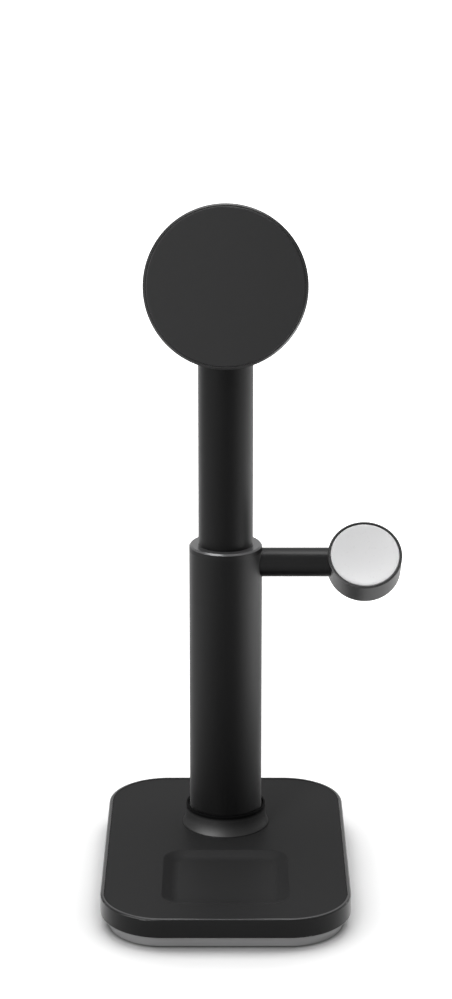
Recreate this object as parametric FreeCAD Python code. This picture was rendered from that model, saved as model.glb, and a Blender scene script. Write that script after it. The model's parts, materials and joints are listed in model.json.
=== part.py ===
import FreeCAD, Part
import math
import os

Vec = FreeCAD.Vector
UP = Vec(0, 0, 1)
ACROSS = Vec(1, 0, 0)
BACK = Vec(0, 1, 0)

# Lengths in millimetres, angles in degrees. The origin is the middle of the underside,
# +Z is up, -Y is the front that the user faces, and +X is the side of the watch arm.

# Base body
base_width = 90.0
base_depth = 127.4
base_corner = 22.6
base_height = 12.0
wall = 2.4
rim_width = 1.2
edge_round = 0.7
pad_drop = 0.2
pad_thick = 1.2
deck_thick = 1.6

# Grey skirt and underside
skirt_height = 4.6
skirt_lift = 0.3
skirt_inset = 2.0
skirt_draft = 1.0
floor_thick = 1.6
lip_height = 2.0
lip_thick = 1.4
grip_recess = 0.8
grip_border = 1.3

# Resting place for the earbuds case
recess_width = 46.0
recess_depth = 46.0
recess_corner = 8.0
recess_slope = 4.5
recess_sink = 1.8
recess_shift = 1.45
recess_mouth_round = 1.2
recess_floor_round = 6.0

# Pieces inside the base
ballast_thick = 2.6
earbud_coil_outer = 18.0
earbud_coil_inner = 8.0
earbud_coil_thick = 1.0
earbud_shield_side = 40.0
earbud_shield_corner = 3.0
earbud_shield_thick = 0.8
board_width = 46.0
board_depth = 16.0
board_thick = 1.2
inlet_width = 8.94
inlet_height = 3.26
inlet_length = 7.3
inlet_sheet = 0.3
inlet_tongue_width = 6.6
inlet_tongue_thick = 0.7
inlet_tongue_length = 4.6
inlet_setback = 0.2
inlet_roof = 1.0

# Fasteners
base_screw_side = 13.0
base_screw_end = 13.2
screw_shank = 1.25
screw_head = 2.4
screw_head_high = 1.5
screw_head_bevel = 0.45
screw_boss_wall = 0.3
screw_bite = 4.0
board_screw_end = 3.5
board_screw_shank = 0.9
board_screw_head = 1.7
board_screw_head_high = 1.2
plug_screw_count = 4
plug_screw_circle = 17.0
plug_screw_cover = 0.8

# Column
tube_outer = 13.5
tube_wall = 1.5
tube_over_arm = 7.2
collar_wall = 1.5
collar_spread = 1.2
collar_height = 8.0
collar_edge = 0.4
collar_flare = 10.0
collar_crest = 0.35
collar_gap = 0.7
collar_gap_depth = 1.2
plug_flange = 20.5
plug_flange_thick = 2.0
plug_spigot = 6.0
plug_bore = 4.0
bush_flange_thick = 2.2
bush_neck = 14.0
bush_edge = 0.6

# Sliding tube
slide_outer = 10.1
slide_wall = 1.3
glide_length = 10.0
glide_stop_gap = 0.3
glide_end = 1.0
lead_radius = 5.5

# Tilt hinge
hinge_height = 219.5
fork_cap = 3.0
fork_spigot = 10.0
fork_edge = 0.3
fork_round = 8.2
fork_bore = 2.5
ear_round = 2.5
lug_width = 10.0
lug_radius = 7.0
lug_edge = 0.6
lug_clear = 0.6
lug_neck = 5.5
lug_corner = 1.5
lug_boss = 10.5
lug_boss_round = 2.5
washer_thick = 0.5
washer_radius = 6.5
pin_radius = 2.5
pin_setback = 0.3
pin_socket = 2.5
pin_socket_depth = 1.5

# Phone head, turned about the line that leaves the face at a right angle
head_tilt = 13.0
head_reach = 28.0
face_radius = 29.0
face_wall = 1.7
face_floor = 1.2
face_ledge = 0.8
disc_thick = 1.8
disc_proud = 0.4
disc_round = 0.5
face_edge = 0.6
cell_depth = 2.8
back_step = 0.8
back_thick = 5.3
back_edge = 0.9
back_flat = 19.0
hub_radius = 9.0
hub_bore = 3.0
hub_washer_radius = 12.0
hub_washer_thick = 1.0
hub_screw_count = 3
hub_screw_circle = 6.0
magnet_count = 16
magnet_gap_angle = 2.0
phone_coil_outer = 22.4
phone_shield_thick = 1.0

# Watch arm and puck
arm_radius = 5.43
arm_height = 115.67
arm_spigot = 3.0
puck_x = 51.3
puck_tilt = 45.0
puck_radius = 13.7
puck_thick = 12.3
puck_rim = 0.75
puck_wall = 1.9
puck_floor = 1.6
puck_back_round = 1.5
puck_edge = 0.4
puck_disc_thick = 1.8
puck_disc_drop = 0.2
puck_disc_dish = 0.7
watch_coil_thick = 1.6
watch_core_thick = 1.2
watch_magnet_radius = 4.2

# Clearances
fit = 0.02            # pieces fixed to each other
running = 0.05        # round faces that slide or turn on each other
panel_gap = 0.1       # panels let into their seats
turn_gap = 0.3        # faces of the head that pass each other
pocket_gap = 0.5      # holes round pieces that only pass through
ballast_gap = 1.4     # room round the weight
board_gap = 0.8       # from the board to the plug's flange
plug_lift = 0.6       # from the floor to the heads of the plug's screws
spigot_cover = 0.6    # of the bush, between the arm's spigot and the sliding tube
coil_hub_gap = 1.0    # from the hub's washer to the phone coil
coil_magnet_gap = 0.8
watch_coil_gap = 1.1

# Levels in the base, worked out from the sizes above
pad_top = base_height - pad_drop
deck_top = pad_top - pad_thick
deck_low = deck_top - deck_thick
floor_low = skirt_lift + grip_recess
floor_top = floor_low + floor_thick
flange_low = floor_top + screw_head_high + plug_lift
boss_low = flange_low + plug_flange_thick
board_top = deck_top - inlet_roof - inlet_height
board_low = board_top - board_thick
inlet_z = board_top + inlet_height / 2
recess_floor = pad_top - recess_sink
tray_low = recess_floor - pad_thick
screw_boss = screw_head + pocket_gap + screw_boss_wall

# Insets from the base's outline, and places from front to back
lip_inset = wall + panel_gap
inner_inset = lip_inset + lip_thick
foot_inset = skirt_inset + skirt_draft
hollow_inset = max(inner_inset, foot_inset + lip_thick)
base_rear = base_depth / 2
board_rear = base_rear - inner_inset - pocket_gap
board_y = board_rear - board_depth / 2
column_y = board_rear - board_depth - board_gap - plug_flange

# Radii and levels on the column
tube_inner = tube_outer - tube_wall
slide_inner = slide_outer - slide_wall
collar_neck = tube_outer + collar_wall
collar_base = collar_neck + collar_spread
recess_y = (column_y - collar_base - base_rear) / 2 + recess_shift
column_top = arm_height + tube_over_arm
tube_top = column_top - bush_flange_thick
bush_low = tube_top - bush_neck
glide_top = bush_low - glide_stop_gap
slide_low = glide_top - glide_length - glide_end
fork_seat = hinge_height - lug_radius - lug_clear
slide_top = fork_seat - fork_cap
plug_top = boss_low + plug_spigot
spigot_end = slide_outer + running + spigot_cover

# Radii of the head, and distances along its axis counted from the hinge pin
back_radius = face_radius - back_step
phone_coil_inner = hub_washer_radius + coil_hub_gap
magnet_inner = phone_coil_outer + coil_magnet_gap
disc_front = head_reach
disc_back = disc_front - disc_thick
rim_front = disc_front - disc_proud
cell_back = disc_back - cell_depth
cup_back = cell_back - face_floor
back_front = cup_back - turn_gap
back_rear = back_front - back_thick
hub_front = cell_back + turn_gap
washer_front = hub_front + hub_washer_thick

# Distances along the puck's axis, counted from the arm's axis
puck_front = puck_thick / 2
puck_back = -puck_thick / 2
puck_disc_front = puck_front - puck_disc_drop
puck_ledge = puck_disc_front - puck_disc_thick
puck_disc_radius = puck_radius - puck_rim - running
watch_coil_outer = puck_radius - puck_wall - watch_coil_gap
watch_coil_back = puck_ledge - watch_coil_thick
watch_core_back = watch_coil_back - watch_core_thick


def outline(width, depth, corner, z, y=0.0):
    """Closed wire of a rectangle with round corners, level at z and centred on x = 0."""
    half_w, half_d = width / 2, depth / 2
    turn = corner * (1 - math.sqrt(0.5))
    edges = []
    for sx, sy in ((1, 1), (-1, 1), (-1, -1), (1, -1)):
        on_side = Vec(sx * half_w, y + sy * (half_d - corner), z)
        on_bend = Vec(sx * (half_w - turn), y + sy * (half_d - turn), z)
        on_end = Vec(sx * (half_w - corner), y + sy * half_d, z)
        first, last = (on_side, on_end) if sx * sy > 0 else (on_end, on_side)
        edges.append((first, on_bend, last))
    wire = []
    for here, following in zip(edges, edges[1:] + edges[:1]):
        wire.append(Part.Arc(*here).toShape())
        wire.append(Part.LineSegment(here[2], following[0]).toShape())
    return Part.Wire(wire)


def plate(width, depth, corner, z_low, z_high, y=0.0):
    """Upright slab with a rounded rectangular outline."""
    face = Part.Face(outline(width, depth, corner, z_low, y))
    return face.extrude(UP * (z_high - z_low))


def base_plate(inset, z_low, z_high):
    """Slab with the base's own outline, set in all round."""
    return plate(base_width - 2 * inset, base_depth - 2 * inset, base_corner - inset, z_low, z_high)


def rod(radius, z_low, z_high, x=0.0, y=0.0):
    return Part.makeCylinder(radius, z_high - z_low, Vec(x, y, z_low), UP)


def column_rod(radius, z_low, z_high):
    return rod(radius, z_low, z_high, 0.0, column_y)


def cross_rod(radius, x_low, x_high, y=0.0, z=0.0):
    """Round bar along X."""
    return Part.makeCylinder(radius, x_high - x_low, Vec(x_low, y, z), ACROSS)


def turned(*steps):
    """Solid of revolution about Z. Each step is (radius, z), or a pair of points for an arc."""
    here = Vec(steps[0][0], 0, steps[0][1])
    start, edges = here, []
    for step in steps[1:]:
        if isinstance(step[0], tuple):
            middle, end = (Vec(r, 0, z) for r, z in step)
            edges.append(Part.Arc(here, middle, end).toShape())
        else:
            end = Vec(step[0], 0, step[1])
            edges.append(Part.LineSegment(here, end).toShape())
        here = end
    edges.append(Part.LineSegment(here, start).toShape())
    return Part.Face(Part.Wire(edges)).revolve(Vec(0, 0, 0), UP, 360)


def corner_arc(centre, radius, start_angle, end_angle):
    """Arc step for turned(): its middle and end points."""
    points = []
    for angle in ((start_angle + end_angle) / 2, end_angle):
        bend = math.radians(angle)
        points.append((centre[0] + radius * math.cos(bend), centre[1] + radius * math.sin(bend)))
    return tuple(points)


def level_edges(shape, z, inside=None):
    """Edges of a shape that lie level at z, and within a box of half sizes about a point if given."""
    found = []
    for edge in shape.Edges:
        box = edge.BoundBox
        if abs(box.ZMin - z) > 1e-4 or abs(box.ZMax - z) > 1e-4:
            continue
        if inside:
            half_w, half_d, mid_y = inside
            if max(abs(box.XMin), abs(box.XMax)) > half_w:
                continue
            if max(abs(box.YMin - mid_y), abs(box.YMax - mid_y)) > half_d:
                continue
        found.append(edge)
    return found


def tilted(shape, tilt, x, y, z):
    """Turns a piece built about Z so that its axis faces the user, raised by tilt, and sets it in place."""
    moved = shape.copy()
    turn = FreeCAD.Placement(Vec(x, y, z), FreeCAD.Rotation(ACROSS, 90 - tilt))
    moved.Placement = turn.multiply(shape.Placement)
    return moved


def on_head(shape):
    return tilted(shape, head_tilt, 0.0, column_y, hinge_height)


def on_puck(shape):
    return tilted(shape, puck_tilt, puck_x, column_y, arm_height)


def ring_places(count, circle, start=0.0):
    """Points evenly spaced on a circle."""
    for number in range(count):
        angle = math.radians(start + 360.0 * number / count)
        yield circle * math.cos(angle), circle * math.sin(angle)


def base_screw_places():
    for sx in (-1, 1):
        for sy in (-1, 1):
            yield sx * (base_width / 2 - base_screw_side), sy * (base_depth / 2 - base_screw_end)


def plug_screw_places():
    for x, y in ring_places(plug_screw_count, plug_screw_circle, 45.0):
        yield x, column_y + y


def board_screw_places():
    for sx in (-1, 1):
        yield sx * (board_width / 2 - board_screw_end), board_y


def inlet_slot(width, height, y_low, y_high):
    """Bar along Y with the inlet's rounded section."""
    bend = height / 2
    flat = width / 2 - bend
    bar = Part.makeBox(2 * flat, y_high - y_low, height, Vec(-flat, y_low, inlet_z - bend))
    for sx in (-1, 1):
        end = Part.makeCylinder(bend, y_high - y_low, Vec(sx * flat, y_low, inlet_z), BACK)
        bar = bar.fuse(end)
    return bar.removeSplitter()


def base_shell():
    """Upper housing: rounded side wall, rim and deck, with the column boss and screw bosses below."""
    body = base_plate(0.0, skirt_height, base_height)
    body = body.makeFillet(edge_round, level_edges(body, base_height) + level_edges(body, skirt_height))
    body = body.cut(base_plate(wall, skirt_height - 1, deck_low))
    body = body.cut(base_plate(rim_width, deck_top, base_height + 1))
    body = body.fuse(column_rod(plug_flange, boss_low, deck_top))
    for x, y in base_screw_places():
        body = body.fuse(rod(screw_boss, cover_boss_top(), deck_low, x, y))
    body = body.cut(column_rod(tube_outer + fit, boss_low - 1, deck_top + 1))
    tray = 2 * (pad_thick + panel_gap)
    body = body.cut(plate(recess_width + tray, recess_depth + tray, recess_corner + tray / 2,
                          deck_low - 1, deck_top + 1, recess_y))
    for x, y in base_screw_places():
        body = body.cut(rod(screw_shank + fit, cover_boss_top() - 1, base_screw_tip() + fit, x, y))
    for x, y in plug_screw_places():
        body = body.cut(rod(screw_shank + fit, boss_low - 1, plug_screw_tip() + fit, x, y))
    mouth = 2 * panel_gap
    body = body.cut(inlet_slot(inlet_width + mouth, inlet_height + mouth,
                               base_rear - inlet_length - pocket_gap, base_rear + 1))
    return body.removeSplitter()


def dish(skin):
    """Form of the resting place, sloping in from mouth to floor, grown by the thickness of a skin."""
    sides = (recess_width + 2 * skin, recess_depth + 2 * skin)
    slope = 2 * recess_slope
    mouth = outline(*sides, recess_corner + skin, pad_top, recess_y)
    floor = outline(sides[0] - slope, sides[1] - slope, recess_corner - recess_slope + skin,
                    recess_floor - skin, recess_y)
    return Part.makeLoft([floor, mouth], True, True)


def base_top_pad():
    """Soft top panel let into the rim, with the dished resting place hanging through the deck."""
    panel = base_plate(rim_width + panel_gap, deck_top, pad_top)
    panel = panel.fuse(dish(pad_thick)).cut(dish(0.0))
    panel = panel.cut(column_rod(tube_outer + pocket_gap, deck_top - 1, pad_top + 1))
    near = (recess_width / 2 + panel_gap, recess_depth / 2 + panel_gap, recess_y)
    panel = panel.removeSplitter()
    panel = panel.makeFillet(recess_floor_round, level_edges(panel, recess_floor, near))
    return panel.makeFillet(recess_mouth_round, level_edges(panel, pad_top, near))


def cover_boss_top():
    """Height where the cover's screw bosses meet those of the shell."""
    return floor_low + screw_head_high + floor_thick


def base_screw_tip():
    return cover_boss_top() + screw_bite


def plug_screw_tip():
    return deck_top - plug_screw_cover


def base_bottom_cover():
    """Lower cover: drafted skirt, lip inside the shell's wall, floor, screw and board bosses."""
    foot = outline(base_width - 2 * foot_inset, base_depth - 2 * foot_inset,
                   base_corner - foot_inset, skirt_lift)
    head = outline(base_width - 2 * skirt_inset, base_depth - 2 * skirt_inset,
                   base_corner - skirt_inset, skirt_height)
    body = Part.makeLoft([foot, head], True, True)
    body = body.fuse(base_plate(lip_inset, skirt_height, skirt_height + lip_height))
    body = body.cut(base_plate(hollow_inset, floor_top, skirt_height))
    body = body.cut(base_plate(inner_inset, skirt_height, skirt_height + lip_height + 1))
    body = body.cut(base_plate(foot_inset + grip_border, skirt_lift - 1, floor_low))
    for x, y in base_screw_places():
        body = body.fuse(rod(screw_boss, floor_low, cover_boss_top(), x, y))
        body = body.cut(rod(screw_head + pocket_gap, floor_low - 1, floor_low + screw_head_high, x, y))
        body = body.cut(rod(screw_shank + fit, floor_low, cover_boss_top() + 1, x, y))
    for x, y in board_screw_places():
        body = body.fuse(rod(board_screw_head + pocket_gap, floor_low, board_low, x, y))
        body = body.cut(rod(board_screw_shank + fit, board_screw_tip() - fit, board_low + 1, x, y))
    notch = inlet_width + 2 * pocket_gap
    body = body.cut(Part.makeBox(notch, inner_inset + 1, lip_height + 1,
                                 Vec(-notch / 2, base_rear - inner_inset - 1, skirt_height)))
    return body.removeSplitter()


def anti_slip_pad():
    """Rubber sheet let into the underside, which the stand rests on."""
    sheet = base_plate(foot_inset + grip_border + panel_gap, 0.0, floor_low)
    return sheet.makeFillet(skirt_lift / 2, level_edges(sheet, 0.0))


def ballast_plate():
    """Steel weight on the floor of the front half, notched round the screw bosses."""
    inset = hollow_inset + ballast_gap
    front = inset - base_rear
    back = column_y - plug_flange - ballast_gap
    weight = plate(base_width - 2 * inset, back - front, base_corner - inset,
                   floor_top, floor_top + ballast_thick, (front + back) / 2)
    for x, y in base_screw_places():
        weight = weight.cut(rod(screw_boss + pocket_gap, floor_top - 1, base_height, x, y))
    return weight


def earbud_coil():
    coil = rod(earbud_coil_outer, tray_low - earbud_coil_thick, tray_low, 0.0, recess_y)
    return coil.cut(rod(earbud_coil_inner, tray_low - earbud_coil_thick - 1, tray_low + 1, 0.0, recess_y))


def earbud_shield():
    coil_low = tray_low - earbud_coil_thick
    return plate(earbud_shield_side, earbud_shield_side, earbud_shield_corner,
                 coil_low - earbud_shield_thick, coil_low, recess_y)


def main_board():
    """Circuit board on its bosses, with a choke, a converter chip and two capacitors soldered on."""
    board = Part.makeBox(board_width, board_depth, board_thick,
                         Vec(-board_width / 2, board_y - board_depth / 2, board_low))
    choke, chip, can = (6.0, 6.0, 2.4), (5.0, 5.0, 0.9), (3.2, 2.5, 1.6)
    for x, y, size in ((-14.0, -3.0, choke), (-6.0, -4.0, chip), (12.0, -4.0, can), (16.5, -4.0, can)):
        corner = Vec(x - size[0] / 2, board_y + y - size[1] / 2, board_top)
        board = board.fuse(Part.makeBox(*size, corner))
    for x, y in board_screw_places():
        board = board.cut(rod(board_screw_shank + fit, board_low - 1, board_top + 1, x, y))
    return board.removeSplitter()


def inlet_socket():
    """Pressed metal power inlet, open to the rear, with its contact tongue."""
    y_open = base_rear - inlet_setback
    y_shut = y_open - inlet_length
    shell = inlet_slot(inlet_width, inlet_height, y_shut, y_open)
    hollow = 2 * inlet_sheet
    shell = shell.cut(inlet_slot(inlet_width - hollow, inlet_height - hollow, y_shut + inlet_sheet, y_open + 1))
    tongue = Part.makeBox(inlet_tongue_width, inlet_tongue_length, inlet_tongue_thick,
                          Vec(-inlet_tongue_width / 2, y_shut + inlet_sheet, inlet_z - inlet_tongue_thick / 2))
    return shell.fuse(tongue).removeSplitter()


def screw(x, y, seat, tip, shank, head, head_high):
    """Pan-head screw driven upwards, with its head below the seat."""
    low = seat - head_high
    body = rod(head, low, seat, x, y)
    body = body.makeChamfer(screw_head_bevel, level_edges(body, low))
    return body.fuse(rod(shank, seat, tip, x, y)).removeSplitter()


def base_screws():
    seat = floor_low + screw_head_high
    return [screw(x, y, seat, base_screw_tip(), screw_shank, screw_head, screw_head_high)
            for x, y in base_screw_places()]


def plug_screws():
    return [screw(x, y, flange_low, plug_screw_tip(), screw_shank, screw_head, screw_head_high)
            for x, y in plug_screw_places()]


def board_screw_tip():
    return floor_low + floor_thick / 2


def board_screws():
    """Small screws that hold the board, driven down into its bosses."""
    screws = []
    for x, y in board_screw_places():
        head = rod(board_screw_head, board_top, board_top + board_screw_head_high, x, y)
        screws.append(head.fuse(rod(board_screw_shank, board_screw_tip(), board_top, x, y)))
    return screws


def foot_collar():
    """Ring round the column's foot: straight neck with a shadow gap, swept out to a thin edge on the panel."""
    inner = tube_outer + fit
    lip = tube_outer + collar_gap
    sweep = math.degrees(math.acos(1 - collar_spread / collar_flare))
    centre = (collar_neck + collar_flare, collar_edge + collar_flare * math.sin(math.radians(sweep)))
    crest = (collar_neck - collar_crest, collar_height - collar_crest)
    ring = turned((inner, 0.0), (collar_base, 0.0), (collar_base, collar_edge),
                  corner_arc(centre, collar_flare, 180 + sweep, 180), (collar_neck, crest[1]),
                  corner_arc(crest, collar_crest, 0, 90), (lip, collar_height),
                  (lip, collar_height - collar_gap_depth), (inner, collar_height - collar_gap_depth))
    ring.translate(Vec(0, column_y, pad_top))
    return ring


def outer_tube():
    """Fixed tube from the plug's flange to the bush, with the hole for the arm's spigot."""
    tube = column_rod(tube_outer, boss_low, tube_top)
    tube = tube.cut(column_rod(tube_inner, boss_low - 1, tube_top + 1))
    return tube.cut(cross_rod(arm_spigot + fit, tube_inner / 2, tube_outer + 1, column_y, arm_height))


def tube_plug():
    """Turned plug in the foot of the tube, whose flange is screwed up against the boss."""
    plug = column_rod(plug_flange, flange_low, boss_low)
    plug = plug.fuse(column_rod(tube_inner - fit, boss_low, plug_top))
    plug = plug.cut(column_rod(plug_bore, flange_low - 1, plug_top + 1))
    for x, y in plug_screw_places():
        plug = plug.cut(rod(screw_shank + fit, flange_low - 1, boss_low + 1, x, y))
    return plug.removeSplitter()


def guide_bush():
    """Flanged bush in the tube's mouth, bevelled at the top, that the inner tube slides in."""
    bore = slide_outer + running
    bush = turned((bore, bush_low), (tube_inner - fit, bush_low), (tube_inner - fit, tube_top),
                  (tube_outer, tube_top), (tube_outer, column_top - bush_edge),
                  (tube_outer - bush_edge, column_top), (bore, column_top))
    bush.translate(Vec(0, column_y, 0))
    return bush.cut(cross_rod(arm_spigot + fit, spigot_end - fit, tube_outer, column_y, arm_height))


def inner_tube():
    tube = column_rod(slide_outer, slide_low, slide_top)
    return tube.cut(column_rod(slide_inner, slide_low - 1, slide_top + 1))


def glide_ring():
    """Ring on the sliding tube's lower end, which runs in the outer tube and stops under the bush."""
    ring = column_rod(tube_inner - running, glide_top - glide_length, glide_top)
    return ring.cut(column_rod(slide_outer + fit, glide_top - glide_length - 1, glide_top + 1))


def column_lead():
    """Outer form of the coiled lead between the plug and the fork."""
    return column_rod(lead_radius, plug_top, slide_top - fork_spigot)


def hinge_fork():
    """Turned and milled fork: spigot in the sliding tube, cap, two ears for the pin, bore for the lead."""
    crown = hinge_height + fork_round
    shoulder = (slide_outer - ear_round, crown - ear_round)
    form = turned((0.0, slide_top - fork_spigot), (slide_inner - fit, slide_top - fork_spigot),
                  (slide_inner - fit, slide_top), (slide_outer - fork_edge, slide_top),
                  (slide_outer, slide_top + fork_edge), (slide_outer, shoulder[1]),
                  corner_arc(shoulder, ear_round, 0, 90), (0.0, crown))
    form.translate(Vec(0, column_y, 0))
    below = column_rod(slide_outer, slide_top - fork_spigot, fork_seat)
    side = Part.makeBox(2 * slide_outer, 2 * fork_round, hinge_height - fork_seat,
                        Vec(-slide_outer, column_y - fork_round, fork_seat))
    round_top = cross_rod(fork_round, -slide_outer, slide_outer, column_y, hinge_height)
    fork = form.common(below.fuse(side).fuse(round_top))
    slot = lug_width + 2 * (washer_thick + 2 * running)
    fork = fork.cut(Part.makeBox(slot, 4 * slide_outer, crown, Vec(-slot / 2, column_y - 2 * slide_outer, fork_seat)))
    fork = fork.cut(cross_rod(pin_radius + fit, -2 * slide_outer, 2 * slide_outer, column_y, hinge_height))
    fork = fork.cut(column_rod(fork_bore, slide_top - fork_spigot - 1, fork_seat + 1))
    return fork.removeSplitter()


def hexagon(across, length, x, y, z):
    """Six-sided bar along X."""
    corners = [Vec(x, y + v, z + w) for v, w in ring_places(6, across / math.sqrt(3.0))]
    return Part.Face(Part.makePolygon(corners + corners[:1])).extrude(ACROSS * length)


def hinge_pin():
    """Pin across the fork, with a hexagon socket in each end."""
    reach = math.sqrt(slide_outer ** 2 - pin_radius ** 2) - pin_setback
    pin = cross_rod(pin_radius, -reach, reach, column_y, hinge_height)
    for start in (-reach, reach - pin_socket_depth):
        pin = pin.cut(hexagon(pin_socket, pin_socket_depth, start, column_y, hinge_height))
    return pin


def friction_washers():
    """Two washers on the pin, one each side of the lug."""
    washers = []
    inner = lug_width / 2 + running
    for low in (inner, -inner - washer_thick):
        washer = cross_rod(washer_radius, low, low + washer_thick, column_y, hinge_height)
        washers.append(washer.cut(cross_rod(pin_radius + fit, low - 1, low + 2, column_y, hinge_height)))
    return washers


def watch_arm():
    """Round arm, shaped at its ends to the tube and to the puck, with a spigot into each."""
    arm = cross_rod(arm_radius, tube_inner, puck_x - puck_radius / 2, column_y, arm_height)
    arm = arm.cut(column_rod(tube_outer, 0.0, column_top + arm_radius))
    arm = arm.cut(puck_form())
    pegs = cross_rod(arm_spigot, spigot_end, puck_x - puck_radius + puck_wall, column_y, arm_height)
    return arm.fuse(pegs).removeSplitter()


def puck_form():
    """Outer form of the puck: flat back with a round edge, straight wall, fine edge at the rim."""
    flat = puck_radius - puck_back_round
    form = turned((0.0, puck_back), (flat, puck_back),
                  corner_arc((flat, puck_back + puck_back_round), puck_back_round, -90, 0),
                  (puck_radius, puck_front - puck_edge), (puck_radius - puck_edge, puck_front), (0.0, puck_front))
    return on_puck(form)


def watch_cup():
    """Puck housing: hollow, with a ledge for the disc and a hole for the arm."""
    inner = puck_radius - puck_wall
    mouth = puck_disc_radius + running
    hollow = turned((0.0, puck_back + puck_floor), (inner, puck_back + puck_floor), (inner, puck_ledge),
                    (mouth, puck_ledge), (mouth, puck_front + 1), (0.0, puck_front + 1))
    cup = puck_form().cut(on_puck(hollow))
    return cup.cut(cross_rod(arm_spigot + fit, puck_x - puck_radius - 1, puck_x - inner / 2, column_y, arm_height))


def watch_disc():
    """Pale disc, dished a little so that the watch's back centres in it."""
    edge = puck_disc_radius
    half = edge / 2
    sag = puck_disc_dish
    low_ball = (edge ** 2 + sag ** 2) / (2 * sag)
    half_way = puck_disc_front - sag + low_ball - math.sqrt(low_ball ** 2 - half ** 2)
    return on_puck(turned((0.0, puck_ledge), (edge, puck_ledge), (edge, puck_disc_front),
                          ((half, half_way), (0.0, puck_disc_front - sag))))


def watch_coil():
    return on_puck(turned((watch_magnet_radius + pocket_gap, watch_coil_back), (watch_coil_outer, watch_coil_back),
                          (watch_coil_outer, puck_ledge), (watch_magnet_radius + pocket_gap, puck_ledge)))


def watch_core():
    radius = puck_radius - puck_wall - pocket_gap
    return on_puck(rod(radius, watch_core_back, watch_coil_back))


def watch_magnet():
    return on_puck(rod(watch_magnet_radius, watch_coil_back, puck_ledge))


def head_back():
    """Rear housing: shallow dome, the turning hub in front, and the hinge lug on a round boss behind."""
    brim = back_front - back_edge
    spread = back_radius - back_flat
    dome = (spread ** 2 + (brim - back_rear) ** 2) / (2 * (brim - back_rear))
    sweep = math.degrees(math.asin(spread / dome))
    stem = lug_boss - lug_boss_round
    body = turned((0.0, back_rear - lug_boss_round), (stem, back_rear - lug_boss_round),
                  corner_arc((lug_boss, back_rear - lug_boss_round), lug_boss_round, 180, 90),
                  (back_flat, back_rear), corner_arc((back_flat, back_rear + dome), dome, -90, sweep - 90),
                  (back_radius, back_front), (hub_radius, back_front), (hub_radius, hub_front), (0.0, hub_front))
    half = lug_width / 2
    end = lug_radius - lug_edge
    barrel = turned((0.0, -half), (end, -half), (lug_radius, lug_edge - half), (lug_radius, half - lug_edge),
                    (end, half), (0.0, half))
    barrel.rotate(Vec(0, 0, 0), Vec(0, 1, 0), 90)
    web = plate(lug_width, 2 * lug_neck, lug_corner, 0.0, back_rear)
    body = body.fuse(barrel).fuse(web)
    body = body.cut(cross_rod(pin_radius + running, -lug_width, lug_width))
    body = body.cut(rod(hub_bore, back_rear + back_thick / 2, hub_front + 1))
    for x, y in ring_places(hub_screw_count, hub_screw_circle, 90.0):
        body = body.cut(rod(board_screw_shank + fit, hub_screw_tip() - fit, hub_front + 1, x, y))
    return on_head(body.removeSplitter())


def hub_screw_tip():
    return back_front - back_thick / 2


def hub_washer():
    """Washer on the hub's end that keeps the front housing from coming off."""
    washer = rod(hub_washer_radius, hub_front, washer_front)
    washer = washer.cut(rod(hub_bore, hub_front - 1, washer_front + 1))
    for x, y in ring_places(hub_screw_count, hub_screw_circle, 90.0):
        washer = washer.cut(rod(board_screw_shank + fit, hub_front - 1, washer_front + 1, x, y))
    return on_head(washer)


def hub_screws():
    screws = []
    for x, y in ring_places(hub_screw_count, hub_screw_circle, 90.0):
        head = rod(board_screw_head, washer_front, washer_front + board_screw_head_high / 2, x, y)
        screws.append(on_head(head.fuse(rod(board_screw_shank, hub_screw_tip(), washer_front, x, y))))
    return screws


def face_cup():
    """Front housing that turns on the hub and holds the coil, the magnets and the face."""
    bore = hub_radius + running
    inner = face_radius - face_wall
    seat = inner + face_ledge
    cup = turned((bore, cup_back), (face_radius - face_edge, cup_back), (face_radius, cup_back + face_edge),
                 (face_radius, rim_front - face_edge), (face_radius - face_edge, rim_front), (seat, rim_front),
                 (seat, disc_back), (inner, disc_back), (inner, cell_back), (bore, cell_back))
    return on_head(cup)


def magnet_ring():
    """Ring of arc magnets, alternately poled, with small gaps between them."""
    outer = face_radius - face_wall - panel_gap
    step = 360.0 / magnet_count
    magnets = []
    for number in range(magnet_count):
        sector = Part.makeCylinder(outer, cell_depth, Vec(0, 0, cell_back), UP, step - magnet_gap_angle)
        sector = sector.cut(rod(magnet_inner, cell_back - 1, disc_back + 1))
        sector.rotate(Vec(0, 0, 0), UP, number * step)
        magnets.append(on_head(sector))
    return magnets


def phone_shield():
    shield = rod(phone_coil_outer, cell_back, cell_back + phone_shield_thick)
    return on_head(shield.cut(rod(phone_coil_inner, cell_back - 1, disc_back + 1)))


def phone_coil():
    coil = rod(phone_coil_outer, cell_back + phone_shield_thick, disc_back)
    return on_head(coil.cut(rod(phone_coil_inner, cell_back - 1, disc_back + 1)))


def face_disc():
    """Soft front face, a little proud of its rim, with a rounded edge."""
    radius = face_radius - face_wall + face_ledge - panel_gap
    inner = radius - disc_round
    disc = turned((0.0, disc_back), (radius, disc_back), (radius, disc_front - disc_round),
                  corner_arc((inner, disc_front - disc_round), disc_round, 0, 90), (0.0, disc_front))
    return on_head(disc)


PIECES = (
    base_shell, base_top_pad, base_bottom_cover, anti_slip_pad, ballast_plate, earbud_coil, earbud_shield,
    main_board, inlet_socket, base_screws, board_screws,
    foot_collar, outer_tube, tube_plug, plug_screws, guide_bush, inner_tube, glide_ring, column_lead,
    hinge_fork, hinge_pin, friction_washers,
    watch_arm, watch_cup, watch_disc, watch_coil, watch_core, watch_magnet,
    head_back, hub_washer, hub_screws, face_cup, magnet_ring, phone_shield, phone_coil, face_disc,
)

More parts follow.
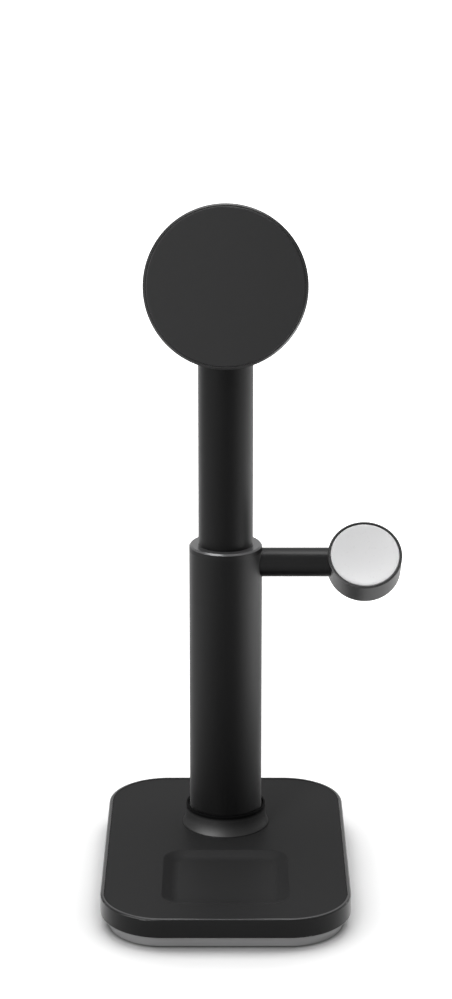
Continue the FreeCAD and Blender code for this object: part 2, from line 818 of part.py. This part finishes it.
os.makedirs("parts", exist_ok=True)
for piece in PIECES:
    made = piece()
    shape = Part.makeCompound(made) if isinstance(made, list) else made
    shape.exportStep(os.path.join("parts", piece.__name__ + ".step"))
    solids = shape.Solids
    print(piece.__name__, "solids", len(solids), "volume", round(shape.Volume, 1), "valid", shape.isValid())
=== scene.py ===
import json
import math

import bmesh
import bpy
from mathutils import Matrix, Vector

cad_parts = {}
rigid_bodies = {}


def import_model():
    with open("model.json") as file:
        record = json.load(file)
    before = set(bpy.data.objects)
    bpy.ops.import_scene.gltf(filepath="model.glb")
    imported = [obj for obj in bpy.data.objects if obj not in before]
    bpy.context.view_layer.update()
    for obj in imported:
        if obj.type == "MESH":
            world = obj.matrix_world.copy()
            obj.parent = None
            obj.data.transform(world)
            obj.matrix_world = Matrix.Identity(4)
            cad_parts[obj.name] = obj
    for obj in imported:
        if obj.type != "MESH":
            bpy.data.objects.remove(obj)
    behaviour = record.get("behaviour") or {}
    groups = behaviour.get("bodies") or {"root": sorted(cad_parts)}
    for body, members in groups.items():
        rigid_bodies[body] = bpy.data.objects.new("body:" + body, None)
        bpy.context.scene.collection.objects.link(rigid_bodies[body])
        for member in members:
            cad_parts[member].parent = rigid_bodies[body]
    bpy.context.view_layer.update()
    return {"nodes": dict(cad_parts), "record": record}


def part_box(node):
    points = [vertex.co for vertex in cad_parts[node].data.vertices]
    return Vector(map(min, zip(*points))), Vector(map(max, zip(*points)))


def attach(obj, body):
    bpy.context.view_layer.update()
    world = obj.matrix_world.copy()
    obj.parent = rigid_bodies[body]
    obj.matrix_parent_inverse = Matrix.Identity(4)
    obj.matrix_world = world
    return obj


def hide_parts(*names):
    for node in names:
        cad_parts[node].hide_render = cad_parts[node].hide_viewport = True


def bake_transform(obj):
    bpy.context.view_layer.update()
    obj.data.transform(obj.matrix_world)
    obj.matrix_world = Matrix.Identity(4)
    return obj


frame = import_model()
nodes = frame["nodes"]
record = frame["record"]
mm = 0.001
upright = (0.0, 0.0, 1.0)
print("frame loaded:", len(nodes), "nodes")


# small helpers for node trees

mixSockets = {"factor": 0, "first": 6, "second": 7, "result": 2}  # a Mix node's sockets for colour


def newMaterial(name):
    material = bpy.data.materials.new(name)
    material.use_nodes = True
    tree = material.node_tree
    return material, tree, tree.nodes["Principled BSDF"]


def addNode(tree, kind, **values):
    # a value goes to the node's own setting, or else to the socket of that name
    node = tree.nodes.new(kind)
    for key, value in values.items():
        if hasattr(node, key):
            setattr(node, key, value)
        else:
            node.inputs[key].default_value = value
    return node


def noiseAt(tree, scale, detail=2.0, stretch=(1.0, 1.0, 1.0)):
    # noise on Object coordinates; stretch below 1 draws it out along that axis
    coords = addNode(tree, "ShaderNodeTexCoord")
    mapping = addNode(tree, "ShaderNodeMapping", Scale=stretch)
    noise = addNode(tree, "ShaderNodeTexNoise", Scale=scale, Detail=detail)
    tree.links.new(coords.outputs["Object"], mapping.inputs["Vector"])
    tree.links.new(mapping.outputs["Vector"], noise.inputs["Vector"])
    return noise.outputs["Fac"]


def ramp(tree, value, limits, kind="LINEAR"):
    # limits hold the range that comes in, then the range that goes out
    node = addNode(tree, "ShaderNodeMapRange", interpolation_type=kind)
    for key, limit in zip(("From Min", "From Max", "To Min", "To Max"), limits):
        node.inputs[key].default_value = limit
    tree.links.new(value, node.inputs["Value"])
    return node.outputs["Result"]


def remap(tree, value, low, high):
    return ramp(tree, value, (0.0, 1.0, low, high))


def heightMask(tree, low, high, axis=upright):
    # 0 below low, 1 above high, in metres along the axis
    coords = addNode(tree, "ShaderNodeTexCoord")
    along = addNode(tree, "ShaderNodeVectorMath", operation="DOT_PRODUCT")
    along.inputs[1].default_value = axis
    tree.links.new(coords.outputs["Object"], along.inputs[0])
    return ramp(tree, along.outputs["Value"], (low, high, 0.0, 1.0))


def blendColour(tree, factor, first, second):
    # first where the factor is 0, second where it is 1: plain colours, or what another node gives
    node = addNode(tree, "ShaderNodeMix", data_type="RGBA")
    for key, value in (("first", first), ("second", second)):
        place = node.inputs[mixSockets[key]]
        if isinstance(value, tuple):
            place.default_value = (*value, 1.0)
        else:
            tree.links.new(value, place)
    tree.links.new(factor, node.inputs[mixSockets["factor"]])
    return node.outputs[mixSockets["result"]]


def combine(tree, operation, first, second):
    node = addNode(tree, "ShaderNodeMath", operation=operation)
    tree.links.new(first, node.inputs[0])
    tree.links.new(second, node.inputs[1])
    return node.outputs[0]


def mountNamed(name):
    return next(m for m in record["mounts"] if m["name"] == name)


def shade(material, *names):
    for name in names:
        slots = nodes[name].data.materials
        slots.clear()
        slots.append(material)


# finishes: cloud is a noise's scale, detail and stretch; grain is a bump's scale, strength and depth

sheenSpread = 0.4


def setSurface(tree, shader, s):
    # what is the same all over, and the fine grain where there is one
    shader.inputs["Specular IOR Level"].default_value = s.get("gloss", 0.5)
    if "sheen" in s:
        shader.inputs["Sheen Weight"].default_value = s["sheen"]
        shader.inputs["Sheen Roughness"].default_value = sheenSpread
    if "grain" in s:
        scale, strength, depth = s["grain"]
        bump = addNode(tree, "ShaderNodeBump", Strength=strength, Distance=depth)
        tree.links.new(noiseAt(tree, scale), bump.inputs["Height"])
        tree.links.new(bump.outputs["Normal"], shader.inputs["Normal"])


def cloudedFinish(name, s):
    # a faint cloud between two tones, and in the roughness
    material, tree, shader = newMaterial(name)
    cloud = noiseAt(tree, *s["cloud"])
    mottle = noiseAt(tree, *s["mottle"]) if "mottle" in s else cloud
    tree.links.new(blendColour(tree, cloud, s["colour"], s["lift"]), shader.inputs["Base Color"])
    if isinstance(s["roughness"], tuple):
        tree.links.new(remap(tree, mottle, *s["roughness"]), shader.inputs["Roughness"])
    else:
        shader.inputs["Roughness"].default_value = s["roughness"]
    shader.inputs["Metallic"].default_value = s.get("metal", 0.0)
    setSurface(tree, shader, s)
    return material


def edgedMoulding(name, s, axis=upright):
    # satin black, with another finish along the edge that stands above the given height
    material, tree, shader = newMaterial(name)
    edge = heightMask(tree, *s["edge"], axis)
    satin = blendColour(tree, noiseAt(tree, *s["cloud"]), s["colour"], s["lift"])
    tree.links.new(blendColour(tree, edge, satin, s["polish"]), shader.inputs["Base Color"])
    tree.links.new(remap(tree, edge, 0.0, s["metal"]), shader.inputs["Metallic"])
    tree.links.new(remap(tree, edge, *s["roughness"]), shader.inputs["Roughness"])
    setSurface(tree, shader, s)
    return material


# black mouldings
mouldedSkin = {"cloud": (60.0, 3.0), "grain": (2600.0, 0.25, 0.02 * mm)}
headBlack = {**mouldedSkin, "colour": (0.0055, 0.0055, 0.0058), "lift": (0.0075, 0.0075, 0.0078),
             "mottle": (240.0, 4.0), "gloss": 0.24, "roughness": (0.34, 0.42)}
shellBlack = {**mouldedSkin, "colour": (0.0038, 0.0038, 0.0040), "lift": (0.0052, 0.0052, 0.0054),
              "gloss": 0.13, "sheen": 0.42, "roughness": (0.28, 0.24),
              "polish": (0.045, 0.045, 0.046), "metal": 0.7, "edge": (11.88 * mm, 11.97 * mm)}
bushBlack = {**mouldedSkin, "colour": (0.0034, 0.0034, 0.0036), "lift": (0.0046, 0.0046, 0.0048),
             "gloss": 0.09, "roughness": (0.46, 0.22),
             "polish": (0.115, 0.115, 0.117), "metal": 0.4, "edge": (122.25 * mm, 122.35 * mm)}
collarBlack = {**mouldedSkin, "colour": (0.0030, 0.0030, 0.0032), "lift": (0.0044, 0.0044, 0.0046),
               "gloss": 0.33, "roughness": (0.52, 0.8),
               "polish": (0.003, 0.003, 0.0031), "metal": 1.0, "edge": (17.6 * mm, 18.8 * mm)}
shade(cloudedFinish("headBlack", headBlack), "head_back", "face_cup")
shade(edgedMoulding("shellBlack", shellBlack), "base_shell")
shade(edgedMoulding("bushBlack", bushBlack), "guide_bush")
shade(edgedMoulding("collarBlack", collarBlack), "foot_collar")

puckBlack = {**mouldedSkin, "colour": (0.0085, 0.0085, 0.0088), "lift": (0.0105, 0.0105, 0.0108),
             "gloss": 0.40, "roughness": (0.38, 0.5),
             "polish": (0.006, 0.006, 0.0062), "metal": 0.4, "ring": (0.3 * mm, 0.15 * mm)}


def puckMoulding():
    # the ring round the pale face is darker than the wall
    axis = Vector(mountNamed("watch_seat")["axis"])
    front = max(vertex.co.dot(axis) for vertex in nodes["watch_cup"].data.vertices)
    edge = [front - depth for depth in puckBlack["ring"]]
    return edgedMoulding("puckBlack", {**puckBlack, "edge": edge}, axis)


shade(puckMoulding(), "watch_cup")

# anodised tubes, with streaks drawn out along them
anodised = {"colour": (0.0030, 0.0030, 0.0032), "lift": (0.0044, 0.0044, 0.0046),
            "cloud": (900.0, 3.0, (1.0, 1.0, 0.08)), "grain": (3000.0, 0.2, 0.012 * mm)}
outerTubeBlack = {**anodised, "gloss": 0.074, "sheen": 0.21, "roughness": (0.42, 0.50)}
innerTubeBlack = {**anodised, "gloss": 0.050, "sheen": 0.44, "roughness": (0.42, 0.50)}
armBlack = {**anodised, "gloss": 0.125, "sheen": 0.08, "roughness": (0.30, 0.38)}
shade(cloudedFinish("outerTubeBlack", outerTubeBlack), "outer_tube")
shade(cloudedFinish("innerTubeBlack", innerTubeBlack), "inner_tube")
shade(cloudedFinish("armBlack", armBlack), "watch_arm", "hinge_fork")

# the recess tone below is painted light: the recess floor and walls are coloured lighter than the panel
softTop = {"colour": (0.0175, 0.0175, 0.0178), "lift": (0.0188, 0.0188, 0.0191), "cloud": (45.0, 4.0),
           "hollow": (0.0205, 0.0205, 0.0208), "level": (10.1 * mm, 11.5 * mm),
           "gloss": 0.03, "roughness": (0.46, 0.52), "grain": (3600.0, 0.35, 0.02 * mm)}


def softTouchTop():
    # the floor and walls of the recess are painted lighter than the panel, a painted light falling into the
    # recess
    s = softTop
    material, tree, shader = newMaterial("softTouchTop")
    cloud = noiseAt(tree, *s["cloud"])
    panel = blendColour(tree, cloud, s["colour"], s["lift"])
    tones = blendColour(tree, heightMask(tree, *s["level"]), s["hollow"], panel)
    tree.links.new(tones, shader.inputs["Base Color"])
    tree.links.new(remap(tree, cloud, *s["roughness"]), shader.inputs["Roughness"])
    setSurface(tree, shader, s)
    return material


shade(softTouchTop(), "base_top_pad")

# soft face, grey skirt, rubber
softFace = {"colour": (0.0150, 0.0150, 0.0154), "lift": (0.0168, 0.0168, 0.0172), "cloud": (90.0, 3.0),
            "gloss": 0.12, "roughness": (0.5, 0.58), "grain": (3200.0, 0.3, 0.02 * mm)}
greySkirt = {"colour": (0.352, 0.352, 0.355), "lift": (0.372, 0.372, 0.375), "cloud": (70.0, 3.0),
             "gloss": 0.25, "roughness": (0.5, 0.62), "grain": (2400.0, 0.3, 0.02 * mm)}
rubber = {"colour": (0.012, 0.012, 0.012), "lift": (0.020, 0.020, 0.020), "cloud": (120.0, 3.0),
          "gloss": 0.2, "roughness": (0.8, 0.92), "grain": (1800.0, 0.4, 0.04 * mm)}
gripRubber = cloudedFinish("gripRubber", rubber)
shade(cloudedFinish("softFaceRubber", softFace), "face_disc")
shade(cloudedFinish("greySkirt", greySkirt), "base_bottom_cover")
shade(gripRubber, "anti_slip_pad", "column_lead")

# metal and what lies inside
insideCloud = (260.0, 3.0)
blackOxide = {"colour": (0.035, 0.035, 0.036), "lift": (0.05, 0.05, 0.051), "cloud": insideCloud,
              "metal": 0.9, "roughness": (0.33, 0.43)}
platedSteel = {"colour": (0.42, 0.42, 0.43), "lift": (0.52, 0.52, 0.53), "cloud": (300.0, 3.0),
               "metal": 1.0, "roughness": (0.28, 0.42)}
copperWinding = {"colour": (0.50, 0.22, 0.10), "lift": (0.72, 0.38, 0.20),
                 "cloud": (5200.0, 1.0, (1.0, 1.0, 0.1)), "metal": 1.0, "roughness": 0.35}
sinteredFerrite = {"colour": (0.03, 0.03, 0.032), "lift": (0.05, 0.05, 0.052), "cloud": insideCloud,
                   "roughness": (0.55, 0.65)}
solderMask = {"colour": (0.02, 0.10, 0.05), "lift": (0.03, 0.14, 0.07), "cloud": insideCloud,
              "roughness": (0.30, 0.40)}
waxyWasher = {"colour": (0.02, 0.02, 0.02), "lift": (0.03, 0.03, 0.03), "cloud": insideCloud,
              "roughness": (0.45, 0.55)}
shade(cloudedFinish("blackOxide", blackOxide), "hinge_pin")
shade(cloudedFinish("platedSteel", platedSteel), "ballast_plate", "tube_plug", "base_screws", "board_screws",
      "plug_screws", "hub_screws", "hub_washer", "magnet_ring", "watch_magnet")
shade(cloudedFinish("copperWinding", copperWinding), "earbud_coil", "watch_coil", "phone_coil")
shade(cloudedFinish("sinteredFerrite", sinteredFerrite), "earbud_shield", "watch_core", "phone_shield")
shade(cloudedFinish("solderMask", solderMask), "main_board")
shade(cloudedFinish("waxyWasher", waxyWasher), "friction_washers", "glide_ring")

inletSocket = {"metal": (0.60, 0.60, 0.61), "tongue": (0.012, 0.012, 0.012), "roughness": (0.26, 0.45),
               "half": (3.35 * mm, 0.5 * mm)}


def platedSocket():
    # bright shell, and a dark plastic tongue in the middle of it
    s = inletSocket
    low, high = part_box("inlet_socket")
    middle = (low + high) / 2
    material, tree, shader = newMaterial("platedSocket")
    coords = addNode(tree, "ShaderNodeTexCoord")
    split = addNode(tree, "ShaderNodeSeparateXYZ")
    tree.links.new(coords.outputs["Object"], split.inputs[0])
    bands = []
    for axis, centre, half in zip("XZ", (middle.x, middle.z), s["half"]):
        band = addNode(tree, "ShaderNodeMath", operation="COMPARE")
        band.inputs[1].default_value = centre
        band.inputs[2].default_value = half
        tree.links.new(split.outputs[axis], band.inputs[0])
        bands.append(band.outputs[0])
    tongue = combine(tree, "MULTIPLY", *bands)
    tree.links.new(blendColour(tree, tongue, s["metal"], s["tongue"]), shader.inputs["Base Color"])
    tree.links.new(remap(tree, tongue, 1.0, 0.0), shader.inputs["Metallic"])
    tree.links.new(remap(tree, tongue, *s["roughness"]), shader.inputs["Roughness"])
    return material


shade(platedSocket(), "inlet_socket")
print("finishes given to the solids")


# pieces that the solids only carry in plain form

weldDistance = 1e-7


def axisFrame(origin, axis):
    # matrix that turns Z to the axis and moves to the origin
    turn = Vector(upright).rotation_difference(Vector(axis)).to_matrix().to_4x4()
    return Matrix.Translation(origin) @ turn


def addPiece(shape, name, material, body, smooth=True):
    bmesh.ops.recalc_face_normals(shape, faces=shape.faces)
    mesh = bpy.data.meshes.new(name)
    shape.to_mesh(mesh)
    shape.free()
    mesh.materials.append(material)
    if smooth:
        mesh.shade_smooth()
    piece = bpy.data.objects.new(name, mesh)
    bpy.context.scene.collection.objects.link(piece)
    if body:
        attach(piece, body)
    return piece


def spun(profile, steps):
    # profile of (radius, height) turned about Z
    shape = bmesh.new()
    line = [shape.verts.new((radius, 0.0, height)) for radius, height in profile]
    edges = [shape.edges.new(pair) for pair in zip(line, line[1:])]
    bmesh.ops.spin(shape, geom=line + edges, cent=(0, 0, 0), axis=upright, dvec=(0, 0, 0),
                   angle=2 * math.pi, steps=steps, use_merge=True, use_duplicate=False)
    bmesh.ops.remove_doubles(shape, verts=shape.verts, dist=weldDistance)
    return shape


paleDisc = {"colour": (0.700, 0.700, 0.705), "lift": (0.704, 0.704, 0.709), "cloud": (900.0, 2.0),
            "gloss": 0.3, "roughness": (0.26, 0.3)}
watchFace = {"gap": 0.2 * mm, "dish": 0.7 * mm, "edge": 0.35 * mm, "depth": 1.8 * mm,
             "brimTurns": (22.5, 45.0, 67.5, 90.0), "rings": 14, "steps": 128}


def addWatchFace():
    s = watchFace
    low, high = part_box("watch_disc")
    seat = mountNamed("watch_seat")
    radius = (high.x - low.x) / 2 - s["gap"]
    flat = radius - s["edge"]
    ball = (radius ** 2 + s["dish"] ** 2) / (2 * s["dish"])
    profile = []
    for ring in range(s["rings"] + 1):  # dish, from the middle out
        r = flat * ring / s["rings"]
        profile.append((r, ball - math.sqrt(ball ** 2 - r ** 2)))
    brim = profile[-1][1]
    for turn in s["brimTurns"]:  # rounded brim
        bend = math.radians(turn)
        profile.append((flat + s["edge"] * math.sin(bend), brim - s["edge"] * (1 - math.cos(bend))))
    underside = s["dish"] - s["depth"]
    profile += [(radius, underside), (0.0, underside)]
    shape = spun(profile, s["steps"])
    bmesh.ops.transform(shape, matrix=axisFrame(seat["pos_m"], seat["axis"]), verts=shape.verts)
    piece = addPiece(shape, "watchFace", cloudedFinish("paleDiscPlastic", paleDisc), "base")
    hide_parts("watch_disc")


contactGold = {"colour": (0.72, 0.48, 0.18), "lift": (0.80, 0.56, 0.24), "cloud": insideCloud,
               "metal": 1.0, "roughness": (0.20, 0.30)}
contacts = {"count": 8, "pitch": 0.6 * mm, "width": 0.32 * mm, "length": 3.4 * mm, "thick": 0.04 * mm,
            "tongue": 0.7 * mm, "setBack": 2.4 * mm, "softened": 0.01 * mm}


def addContacts():
    s = contacts
    low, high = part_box("inlet_socket")
    level = (low.z + high.z) / 2
    y = high.y - s["setBack"] - s["length"] / 2
    rise = (s["tongue"] + s["thick"]) / 2
    size = Matrix.Diagonal((s["width"], s["length"], s["thick"], 1.0))
    shape = bmesh.new()
    for number in range(s["count"]):
        x = (number - (s["count"] - 1) / 2) * s["pitch"]
        for side in (-1, 1):  # under the tongue and on it
            strip = bmesh.ops.create_cube(shape, size=1.0)["verts"]
            place = Matrix.Translation((x, y, level + side * rise))
            bmesh.ops.transform(shape, matrix=place @ size, verts=strip)
    bmesh.ops.bevel(shape, geom=shape.edges[:], offset=s["softened"], offset_type="OFFSET", affect="EDGES",
                    segments=1, profile=0.5, material=-1)
    gold = cloudedFinish("contactGold", contactGold)
    addPiece(shape, "inletContacts", gold, "base", smooth=False)


leadCoil = {"wire": 1.2 * mm, "pitch": 8.4 * mm, "sides": 12, "perTurn": 32}


def addColumnLead():
    s = leadCoil
    low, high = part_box("column_lead")
    middle = (low + high) / 2
    foot = Vector((middle.x, middle.y, low.z))
    reach = (high.x - low.x) / 2 - s["wire"]
    rise = high.z - low.z - 2 * s["wire"]
    turns = round(rise / s["pitch"])
    steps = turns * s["perTurn"]
    shape = bmesh.new()
    ring = bmesh.ops.create_circle(shape, cap_ends=False, segments=s["sides"], radius=s["wire"])["verts"]
    start = Matrix.Translation(foot + Vector((reach, 0.0, s["wire"]))) @ Matrix.Rotation(math.pi / 2, 4, "X")
    bmesh.ops.transform(shape, matrix=start, verts=ring)
    bmesh.ops.spin(shape, geom=ring + shape.edges[:], cent=middle, axis=upright, dvec=(0, 0, rise / steps),
                   angle=2 * math.pi * turns, steps=steps, use_merge=False, use_duplicate=False)
    bmesh.ops.holes_fill(shape, edges=[edge for edge in shape.edges if edge.is_boundary], sides=0)
    piece = addPiece(shape, "columnLead", gripRubber, None)
    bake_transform(piece)  # the coil stays on no body, with its place baked into the mesh
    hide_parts("column_lead")
    print("coil of", turns, "turns")


addWatchFace()
addContacts()
addColumnLead()
print("pieces added")


# studio: pale floor, soft lamps, camera where the photo was taken from

photo = {"width": 452, "height": 999, "focalPixels": 2700.0, "pitch": 17.173,
         "place": (0.00013, -0.925, 0.4325), "sensor": 36.0, "clip": (0.01, 50.0)}


def addCamera():
    data = bpy.data.cameras.new("photoCamera")
    data.sensor_width = photo["sensor"]
    data.lens = photo["focalPixels"] * photo["sensor"] / max(photo["width"], photo["height"])
    data.clip_start, data.clip_end = photo["clip"]
    camera = bpy.data.objects.new("photoCamera", data)
    camera.location = photo["place"]
    camera.rotation_euler = (math.radians(90.0 - photo["pitch"]), 0.0, 0.0)
    bpy.context.scene.collection.objects.link(camera)
    bpy.context.scene.camera = camera


def cameraOrMirrorRay(tree):
    # 1 for what the camera sees directly, in a reflection or through glass, 0 for plain lighting
    rays = addNode(tree, "ShaderNodeLightPath").outputs
    seen = combine(tree, "MAXIMUM", rays["Is Camera Ray"], rays["Is Glossy Ray"])
    return combine(tree, "MAXIMUM", seen, rays["Is Transmission Ray"])


floor = {"half": 6.0, "drop": 0.05 * mm,
         # half sizes of a box round the middle, and a ramp over the distance from that box
         "far": {"box": (0.0, 0.0, 0.0), "limits": (0.075, 0.6, 0.0, 0.9)},
         "middle": {"box": (0.009, 0.0337, 0.0), "limits": (0.038, 0.054, 0.0, 0.2)},
         "near": {"box": (0.009, 0.0277, 0.0), "limits": (0.036, 0.044, 0.0, 0.165)},
         # a contact shadow painted into the floor's colour, darker under the base
         "contact": {"box": (0.0224, 0.0411, 0.0), "limits": (0.0190, 0.0215, 0.35, 0.95)}}


def floorRamp(tree, s):
    value = addNode(tree, "ShaderNodeTexCoord").outputs["Object"]
    toBox = (("ABSOLUTE", None), ("SUBTRACT", s["box"]), ("MAXIMUM", (0.0, 0.0, 0.0)), ("LENGTH", None))
    for operation, second in toBox:
        node = addNode(tree, "ShaderNodeVectorMath", operation=operation)
        if second:
            node.inputs[1].default_value = second
        tree.links.new(value, node.inputs[0])
        value = node.outputs["Value" if operation == "LENGTH" else "Vector"]
    return ramp(tree, value, s["limits"], "SMOOTHSTEP")


def addFloor():
    grid = bmesh.new()
    bmesh.ops.create_grid(grid, x_segments=1, y_segments=1, size=floor["half"],
                          matrix=Matrix.Translation((0.0, 0.0, -floor["drop"])))
    mesh = bpy.data.meshes.new("floor")
    grid.to_mesh(mesh)
    grid.free()
    plane = bpy.data.objects.new("floor", mesh)
    bpy.context.scene.collection.objects.link(plane)
    material, tree, shader = newMaterial("paleFloor")
    # painted contact shadow: the floor's colour is darker right under the skirt
    tree.links.new(floorRamp(tree, floor["contact"]), shader.inputs["Base Color"])
    shader.inputs["Roughness"].default_value = 1.0
    shader.inputs["Specular IOR Level"].default_value = 0.0
    # the floor is lifted to white away from the object, and keeps its shadow close to the base
    lift = floorRamp(tree, floor["far"])
    for zone in ("middle", "near"):
        lift = combine(tree, "ADD", lift, floorRamp(tree, floor[zone]))
    glow = addNode(tree, "ShaderNodeEmission")
    tree.links.new(combine(tree, "MULTIPLY", lift, cameraOrMirrorRay(tree)), glow.inputs["Strength"])
    both = addNode(tree, "ShaderNodeAddShader")
    tree.links.new(shader.outputs[0], both.inputs[0])
    tree.links.new(glow.outputs[0], both.inputs[1])
    tree.links.new(both.outputs[0], tree.nodes["Material Output"].inputs["Surface"])
    mesh.materials.append(material)


lamps = {
    "overhead": {"place": (0.0, 0.22, 1.05), "aim": (0.0, 0.0, 0.08), "size": (0.8, 0.7), "watts": 6.2},
    "key": {"place": (-0.6, -0.78, 0.85), "aim": (0.0, 0.0, 0.1), "size": (0.45, 0.45), "watts": 3.0,
            "spares": ["floor"]},
    "lowKey": {"place": (-0.45, -0.88, 0.22), "aim": (0.0, -0.03, 0.01), "size": (0.3, 0.2), "watts": 10.5,
               "only": ["base_top_pad"]},  # picks out the walls of the recess
}
cards = {  # seen only in reflections
    "topStrip": {"place": (0.05, 0.05, 0.9), "aim": (0.05, 0.02, 0.1), "size": (0.5, 0.3), "watts": 4.0},
    "capStrip": {"place": (-0.32, -0.18, 0.95), "aim": (0.0, 0.0, 0.12), "size": (0.6, 0.3), "watts": 4.2},
    "frontStrip": {"place": (-0.62, -0.60, 0.44), "aim": (0.0, 0.0, 0.02), "size": (0.9, 0.35),
                   "watts": 18.0},
    "leftCard": {"place": (-0.31, -0.07, 0.003), "aim": (-0.31, -0.07, 1.0), "size": (0.36, 0.3),
                 "watts": 0.85},
    "rightCard": {"place": (0.333, -0.055, 0.003), "aim": (0.333, -0.055, 1.0), "size": (0.335, 0.29),
                  "watts": 3.2, "spares": ["watch_cup", "foot_collar"]},
    "farCard": {"place": (0.42, 0.2, 0.003), "aim": (0.42, 0.2, 1.0), "size": (0.25, 0.2),
                "watts": 2.0, "spares": ["watch_cup"]},
}
skyStrength = 0.46


def addLamp(name, s, mirrorOnly):
    data = bpy.data.lights.new(name, "AREA")
    data.shape = "RECTANGLE"
    data.size, data.size_y = s["size"]
    data.energy = s["watts"]
    lamp = bpy.data.objects.new(name, data)
    lamp.location = s["place"]
    aim = Vector(s["aim"]) - Vector(s["place"])
    lamp.rotation_euler = aim.to_track_quat("-Z", "Y").to_euler()
    lamp.visible_diffuse = not mirrorOnly
    bpy.context.scene.collection.objects.link(lamp)
    for key, state in (("spares", "EXCLUDE"), ("only", "INCLUDE")):
        if key in s:  # this lamp leaves these pieces alone, or lights no others
            chosen = bpy.data.collections.new(name + key.title())
            lamp.light_linking.receiver_collection = chosen
            for number, piece in enumerate(s[key]):
                chosen.objects.link(bpy.data.objects[piece])
                chosen.collection_objects[number].light_linking.link_state = state


def addSky():
    world = bpy.data.worlds.new("whiteStudio")
    world.use_nodes = True
    tree = world.node_tree
    background = tree.nodes["Background"]
    background.inputs["Color"].default_value = (1.0, 1.0, 1.0, 1.0)
    strength = remap(tree, cameraOrMirrorRay(tree), skyStrength, 1.0)
    tree.links.new(strength, background.inputs["Strength"])
    bpy.context.scene.world = world


addCamera()
addFloor()
for lampName, lampSettings in lamps.items():
    addLamp(lampName, lampSettings, False)
for cardName, cardSettings in cards.items():
    addLamp(cardName, cardSettings, True)
addSky()
bpy.context.scene.view_settings.view_transform = "Standard"
print("camera, floor and lamps placed")
